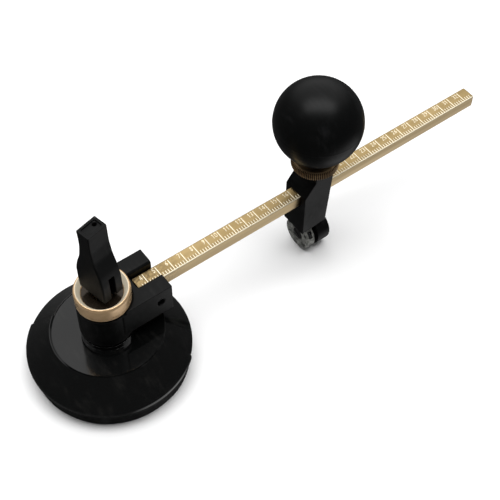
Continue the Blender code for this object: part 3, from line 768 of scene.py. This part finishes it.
def makeLever(d):
    # the side outline at each height gives the section's front and back; the width narrows towards the top
    frontY, frontZ = np.array(d["front"]).T
    backY, backZ = np.array(d["back"]).T
    z = np.linspace(frontZ[0], d["gripTop"], 90)

    def softened(values):
        # each value is a bell-weighted mean of its neighbours
        bell = np.hanning(11)[1:-1]
        return np.convolve(np.pad(values, 4, "edge"), bell / np.hanning(11).sum(), "valid")

    front, back = softened(np.interp(z, frontZ, frontY)), softened(np.interp(z, backZ, backY))
    halfX = d["footHalfX"] + (d["gripHalfX"] - d["footHalfX"]) * np.clip(z / d["gripTop"], 0, 1)
    corners = denser(roundedPath([(-1, -1), (1, -1), (1, 1), (-1, 1)], 0.12, 4), 0.3)
    x = halfX[:, None] * corners[None, :, 0]
    y = (front + back)[:, None] / 2 + (back - front)[:, None] / 2 * corners[None, :, 1]
    points = np.stack([x, y, np.broadcast_to(z[:, None], x.shape)], -1)
    piece = gridPiece("thumb_lever", points, wrapV=True, capU=True)
    cam = blockPiece("tool", roundedRows(d["cam"], 6), -d["camHalfX"], d["camHalfX"], "YZ")
    combined(piece, [cam], "UNION")
    wide, top = d["recessX"], d["gripTop"]
    near, far = d["recessY"]
    pocket = [(-wide, near), (wide, near), (wide, far), (-wide, far)]
    combined(piece, [
        blockPiece("tool", roundedRows(d["slot"], 4), -d["slotHalfX"], d["slotHalfX"], "YZ"),
        rodTool(d["pinHoleR"], *d["pinHole"], "X"),
        blockPiece("tool", roundedPath(pocket, 0.5, 4), top - d["recess"], top + past, "XY"),
        rodTool(d["dimpleR"], top - d["dimpleDepth"], top + past, "Z", d["dimple"]),
    ])
    moulded(piece, d["voxel"])
    placed(piece, leverPlace)
    return finished(piece, "lever", "black_plastic", "lever")


stud = {
    "rows": [(0, 3.6, 0), (1.6, 3.6, 0.2), (1.6, 10.9, 0.1), (2.6, 10.9, 0.2), (2.6, 31.0, 0.3),
             (0, 31.0, 0)],
    "eyeR": 2.4, "eyeFrom": 30.0, "eyeHalfX": 0.8, "holeR": 1.3,
}


def makeStud(d):
    # a round stud with a flat eye, its edges broken, in line with the lever
    piece = turnedPiece("eye_stud", roundedRows(d["rows"], 3, closed=False), 64, closed=False)
    t = np.linspace(0, math.pi, 33)[:, None]
    r, middle = d["eyeR"], lever["pivotZ"]
    foot = [(-r, d["eyeFrom"]), (r, d["eyeFrom"])]
    eye = np.vstack([foot, np.hstack([r * np.cos(t), middle + r * np.sin(t)])])
    combined(piece, [blockPiece("tool", eye, -d["eyeHalfX"], d["eyeHalfX"], "YZ", 0.15)], "UNION")
    combined(piece, [rodTool(d["holeR"], -3, 3, "X", (0, 0, middle))])
    placed(piece, Matrix.Rotation(math.radians(lever["turn"]), 4, "Z"))
    return finished(piece, "stud", "steel", "pull_stud")


def pinPiece(name, node, body, radius, low, high, axis, matrix, dome=0.15):
    # a pin with a slight dome and a broken edge at each end
    rows = [(0, low - 0.02, 0), (radius * 0.6, low, 0.2), (radius, low + dome, 0.1),
            (radius, high - dome, 0.1), (radius * 0.6, high, 0.2), (0, high + 0.02, 0)]
    piece = turnedPiece(name, roundedRows(rows, 3, closed=False), 48, axis)
    placed(piece, matrix)
    return finished(piece, body, slotOf[node], node)


makeLever(lever)
makeStud(stud)
pinPiece("lever_cross_pin", "lever_pin", "lever", 1.0, -2.2, 3.8, "X", leverPlace)
pinPiece("fork_pin", "pivot_pin", "arm", hinge["pinR"], -hinge["pinHalf"], hinge["pinHalf"], "Y",
         Matrix.Translation(Vector(hingePlace) * mm))
print("lever done")

turret = {
    "left": 80.1, "axisZ": 6.45, "radius": 6.3, "thick": 3.3, "boreR": 1.8,
    "sinkR": (2.8, 3.3), "sinkDepth": 1.4,
    "wheels": 6, "wheelR": 1.4, "wheelHalf": 0.5, "wheelBore": 0.62, "grind": 0.42,
    "pinR": 0.4, "holeR": 0.55, "slotHalfX": 0.8, "slotHalfY": 1.62, "slotFromAxis": 3.3, "voxel": 0.085,
}
head = {
    "axisX": 85.7, "halfY": 5.3, "left": 78.0, "right": 90.2, "top": 41.0,
    "shoulder": 4.4, "shoulderZ": (32.0, 38.0), "foot": 1.9, "footZ": (13.0, 14.2),
    "bossR": 6.7, "bossZ": 7.0, "bossLeft": 84.5, "neckRight": 88.1, "neckHalfY": 4.0, "neckZ": (8.0, 15.0),
    "slotHalfY": 3.0, "slotZ": (26.3, 31.7), "screwHoleR": 2.3, "turretHoleR": 1.8, "turretHoleEnd": 89.5,
    "voxel": 0.13,
}


def makeHead(d):
    # a tapered block with a slanted shoulder and a round boss, cut by the bar's slot and the screws' holes
    inner = d["left"] + d["shoulder"]
    outline = np.array([
        (d["left"], d["footZ"][0]), (d["right"] - d["foot"], d["footZ"][1]), (d["right"], d["top"]),
        (inner, d["top"]), (inner, d["shoulderZ"][1]), (d["left"], d["shoulderZ"][0]),
    ])
    piece = blockPiece("cutting_head", outline, -d["halfY"], d["halfY"])
    left, right, r, y = d["bossLeft"], d["right"], d["bossR"], d["neckHalfY"]
    rows = [(0, left, 0), (r, left, 0.2), (r, right, 0.7), (0, right, 0)]
    boss = turnedPiece("tool", roundedRows(rows, 4, closed=False), 96, "X", (0, 0, d["bossZ"]), closed=False)
    neck = boxTool((left, -y, d["neckZ"][0]), (d["neckRight"], y, d["neckZ"][1]))
    combined(piece, [boss, neck], "UNION")
    slotLow, slotHigh = d["slotZ"]
    combined(piece, [
        boxTool((d["left"] - past, -d["slotHalfY"], slotLow), (d["right"] + past, d["slotHalfY"], slotHigh)),
        rodTool(d["screwHoleR"], slotHigh - past, d["top"] + past, "Z", (d["axisX"], 0, 0)),
        rodTool(d["turretHoleR"], d["bossLeft"] - past, d["turretHoleEnd"], "X", (0, 0, turret["axisZ"])),
    ])
    moulded(piece, d["voxel"])
    return finished(piece, "head", "black_plastic", "head_block")


knurl = {
    "radius": 8.3, "low": 41.3, "high": 45.0, "teeth": 76, "depth": 0.42, "shankR": 2.0, "tipZ": 33.0,
    "faceR": 3.6, "faceSunk": 0.25, "socketR": 1.9, "socketZ": 42.0,
}


def makeClampScrew(d):
    # a disc whose edge radius dips between the teeth, on a plain shank, with a socket for the spindle
    r, low, high = d["radius"], d["low"], d["high"]
    sunk = high - d["faceSunk"]
    profile = roundedRows([
        (0, d["tipZ"], 0), (d["shankR"], d["tipZ"], 0.2), (d["shankR"], low, 0.1), (r - 1.0, low, 0.3),
        (r, low + 0.6, 0.4), (r, high - 0.6, 0.4), (r - 0.9, high, 0.3), (d["faceR"], high, 0.1),
        (d["faceR"] - 0.2, sunk, 0.1), (d["socketR"], sunk, 0.1), (d["socketR"], d["socketZ"], 0.1),
        (0, d["socketZ"], 0),
    ], 5, closed=False)

    def groove(angle, radius, h):
        # nought on a tooth's crest and one in the groove, only near the rim
        edge = np.clip((radius - (r - 0.75)) / 0.6, 0, 1)
        return edge * (0.5 - 0.5 * np.cos(angle * d["teeth"])) ** 1.4

    def toothed(angle, radius, h):
        return radius - d["depth"] * groove(angle, radius, h), h

    piece = turnedPiece("knurled_screw", denser(profile, 0.5, closed=False), d["teeth"] * 10,
                        centre=(head["axisX"], 0, 0), radiusOf=toothed, closed=False, valuesOf=groove)
    return finished(piece, "clamp_screw", "knurled_brass", "clamp_screw")


ball = {"centreZ": 61.6, "radius": 15.15, "bore": 3.5, "boreTop": 5.2, "seam": 0.06, "seamWidth": 0.012}


def makeBall(d):
    # a sphere with a bore below, a small flat lip at its mouth and a faint ridge where the mould parted
    r = d["radius"]
    start = math.asin(d["bore"] / r)
    t = np.linspace(start, math.pi, 150)
    ridge = d["seam"] * np.exp(-((t - math.pi / 2) / d["seamWidth"]) ** 2)
    outside = np.stack([(r + ridge) * np.sin(t), -(r + ridge) * np.cos(t)], 1)
    outside[-1, 0] = 0
    bore = np.array([(0, d["boreTop"]), (d["bore"], d["boreTop"]), (d["bore"], -r * math.cos(start) + 0.4)])
    mouth = roundedPath([bore[2], (d["bore"], outside[0, 1]), outside[1]], 0.2, 3, closed=False)[1:-1]
    profile = np.vstack([bore, mouth, outside[1:]])
    piece = turnedPiece("ball_handle", profile, 160, centre=(head["axisX"], 0, d["centreZ"]), closed=False)
    return finished(piece, "knob", "gloss_black", "ball_knob")


# radius, height and corner radius
spindle = [(0, 42.3, 0), (1.6, 42.3, 0.2), (1.6, 45.3, 0.1), (3.2, 45.3, 0.2), (3.2, 47.2, 0.3),
           (2.0, 47.2, 0.1), (2.0, 66.0, 0.3), (0, 66.0, 0)]


def makeSpindle(rows):
    # a stepped round spindle between the screw and the ball
    profile = roundedRows(rows, 3, closed=False)
    piece = turnedPiece("ball_spindle", profile, 64, centre=(head["axisX"], 0, 0), closed=False)
    return finished(piece, "clamp_screw", "steel", "knob_spindle")


makeHead(head)
makeClampScrew(knurl)
makeBall(ball)
makeSpindle(spindle)
print("head done")


def spoke(d, index):
    # the turn about the turret's axis that carries the lowest wheel's place to another one
    centre = Vector((0, 0, d["axisZ"] * mm))
    turn = Matrix.Rotation(tau * index / d["wheels"], 4, "X")
    return Matrix.Translation(centre) @ turn @ Matrix.Translation(-centre)


def makeTurret(d):
    # a worn disc with a countersunk bore, cut at each spoke by a wheel's slot and its pin's hole
    left, right, r, bore = d["left"], d["left"] + d["thick"], d["radius"], d["boreR"]
    profile = roundedRows([
        (bore, left + d["sinkDepth"], 0.1), (d["sinkR"][0], left + 0.05, 0.2), (d["sinkR"][1], left, 0.1),
        (r, left, 0.45), (r, right, 0.3), (bore, right, 0.1),
    ], 4)
    piece = turnedPiece("wheel_turret", profile, 144, "X", (0, 0, d["axisZ"]))
    middle, x, y = left + d["thick"] / 2, d["slotHalfX"], d["slotHalfY"]
    tools = []
    for index in range(d["wheels"]):
        slotTool = boxTool((middle - x, -y, -past), (middle + x, y, d["axisZ"] - d["slotFromAxis"]))
        hole = rodTool(d["holeR"], left - past, right + past, "X", (0, 0, d["wheelR"]), 24)
        tools += [placed(slotTool, spoke(d, index)), placed(hole, spoke(d, index))]
    combined(piece, tools)
    moulded(piece, d["voxel"], 3)
    return finished(piece, "turret", "worn_steel", "turret")


def makeWheel(d, index):
    # a small wheel ground to a sharp edge, with a pin through it; the lowest wheel touches the glass
    middle = d["left"] + d["thick"] / 2
    r, half, flat = d["wheelR"], d["wheelHalf"], 0.03
    profile = roundedRows([
        (d["wheelBore"], -half, 0.06), (r - d["grind"], -half, 0.05), (r, -flat, 0.02), (r, flat, 0.02),
        (r - d["grind"], half, 0.05), (d["wheelBore"], half, 0.06),
    ], 2)
    wheel = turnedPiece(f"cutting_wheel_{index + 1}", denser(profile, 0.3), 64, "X", (middle, 0, r))
    placed(wheel, spoke(d, index))
    finished(wheel, f"wheel_{index + 1}", "wheel_steel", f"wheel_{index + 1}")
    pinHalf = d["thick"] / 2 - 0.1
    pinPiece(f"wheel_axle_{index + 1}", f"wheel_pin_{index + 1}", "turret", d["pinR"], -pinHalf, pinHalf, "X",
             spoke(d, index) @ Matrix.Translation((middle * mm, 0, r * mm)), 0.06)


screw = {
    "sunk": 0.12, "headR": 2.35, "headDepth": 1.1, "shankR": 1.5, "length": 9.0,
    "driverHalfY": 3.2, "driverHalfZ": 0.3, "driverDepth": 0.65, "driverTurn": 0.6,
}


def makeTurretScrew(d):
    # countersunk screw with a straight driver slot, flush with the turret's face
    left, z = turret["left"], turret["axisZ"]
    profile = roundedRows([
        (0, left + d["sunk"], 0), (d["headR"], left + d["sunk"], 0.15),
        (d["shankR"], left + d["headDepth"], 0.1), (d["shankR"], left + d["length"], 0.2),
        (0, left + d["length"], 0),
    ], 3, closed=False)
    piece = turnedPiece("slotted_screw", profile, 72, "X", (0, 0, z), closed=False)
    y, halfZ = d["driverHalfY"], d["driverHalfZ"]
    driver = boxTool((left - past, -y, z - halfZ), (left + d["driverDepth"], y, z + halfZ))
    centre = Vector((0, 0, z * mm))
    turn = Matrix.Rotation(d["driverTurn"], 4, "X")
    placed(driver, Matrix.Translation(centre) @ turn @ Matrix.Translation(-centre))
    combined(piece, [driver])
    piece.data.set_sharp_from_angle(angle=math.radians(35))
    return finished(piece, "head", "steel", "turret_screw")


makeTurret(turret)
for index in range(turret["wheels"]):
    makeWheel(turret, index)
makeTurretScrew(screw)
print("turret done")

studio = {
    "floor": (0.94, 0.94, 0.94), "floorHalf": 12.0, "floorZ": -0.0001,
    "dark": 0.09,                              # the sky away from its two bright patches
    # each patch: its direction, the cosines at its edge and its full strength, and that strength
    "patches": [((0.366, 0.474, 0.80), 0.45, 0.90, 1.25), ((0.368, -0.473, -0.80), 0.86, 0.98, 0.85)],
    # place, target, width and depth in metres, and power in watts
    "overhead": ((0.06, -0.03, 1.0), (0.085, 0.0, 0.04), 1.3, 0.48, 9.5),
    "camera": {"azimuth": -37.89, "elevation": 53.17, "roll": 1.31, "distance": 0.38806,
               "target": (0.05787, -0.00098, 0.015), "lens": 79.78},
}


def makeFloor(d):
    mesh = bpy.data.meshes.new("floor")
    half = d["floorHalf"]
    corners = [(-half, -half, 0), (half, -half, 0), (half, half, 0), (-half, half, 0)]
    mesh.from_pydata(corners, [], [(0, 1, 2, 3)])
    floor = bpy.data.objects.new("floor", mesh)
    floor.location.z = d["floorZ"]
    bpy.context.scene.collection.objects.link(floor)
    paper = Finish("pale floor", d["floor"], 0.75, **{"Specular IOR Level": 0.2})
    mesh.materials.append(paper.material)
    floor.visible_glossy = False               # polished parts reflect the studio, not the paper


def makeSky(d):
    # an even dim sky plus each patch: its strength fades in with the cosine of the angle from its direction
    world = bpy.data.worlds.new("studio")
    world.use_nodes = True
    nodes, links = world.node_tree.nodes, world.node_tree.links
    direction = nodes.new("ShaderNodeTexCoord").outputs["Generated"]
    total = None
    for towards, edge, full, strength in d["patches"]:
        facing = nodes.new("ShaderNodeVectorMath")
        facing.operation = "DOT_PRODUCT"
        facing.inputs[1].default_value = towards
        links.new(direction, facing.inputs[0])
        patch = nodes.new("ShaderNodeMapRange")
        patch.interpolation_type = "SMOOTHSTEP"
        links.new(facing.outputs["Value"], patch.inputs["Value"])
        for key, value in zip(("From Min", "From Max", "To Min", "To Max"), (edge, full, 0.0, strength)):
            patch.inputs[key].default_value = value
        added = nodes.new("ShaderNodeMath")
        added.inputs[0].default_value = d["dark"]
        if total:
            links.new(total, added.inputs[0])
        links.new(patch.outputs[0], added.inputs[1])
        total = added.outputs[0]
    nodes["Background"].inputs["Color"].default_value = (1, 1, 1, 1)
    links.new(total, nodes["Background"].inputs["Strength"])
    bpy.context.scene.world = world


def makeLamp(d):
    # a large lamp overhead, its long side across the view
    place, target, width, depth, power = d["overhead"]
    light = bpy.data.lights.new("overhead", "AREA")
    light.shape, light.size, light.size_y, light.energy = "RECTANGLE", width, depth, power
    lamp = bpy.data.objects.new("overhead", light)
    down = (Vector(target) - Vector(place)).normalized()
    azimuth = math.radians(d["camera"]["azimuth"])
    across = Vector((math.cos(azimuth), math.sin(azimuth), 0))
    depthWays = (-down).cross(across).normalized()
    lamp.matrix_world = Matrix.Translation(place) @ Matrix((across, depthWays, -down)).transposed().to_4x4()
    bpy.context.scene.collection.objects.link(lamp)


def makeCamera(d):
    # it looks at the target from the azimuth and elevation, rolled about its line of sight
    azimuth, elevation = math.radians(d["azimuth"]), math.radians(d["elevation"])
    back = Vector((math.sin(azimuth) * math.cos(elevation), -math.cos(azimuth) * math.cos(elevation),
                   math.sin(elevation)))
    place = Vector(d["target"]) + back * d["distance"]
    right = (-back).cross(Vector((0, 0, 1))).normalized()
    up = right.cross(-back)
    roll = math.radians(d["roll"])
    right, up = right * math.cos(roll) + up * math.sin(roll), up * math.cos(roll) - right * math.sin(roll)
    data = bpy.data.cameras.new("camera")
    data.lens, data.sensor_width, data.clip_start = d["lens"], 36, 0.01
    camera = bpy.data.objects.new("camera", data)
    turn = Matrix((right, up, back)).transposed().to_4x4()
    camera.matrix_world = Matrix.Translation(place) @ turn
    bpy.context.scene.collection.objects.link(camera)
    bpy.context.scene.camera = camera


makeFloor(studio)
makeSky(studio)
makeLamp(studio)
makeCamera(studio["camera"])
bpy.context.scene.view_settings.view_transform = "Standard"
print("studio done")
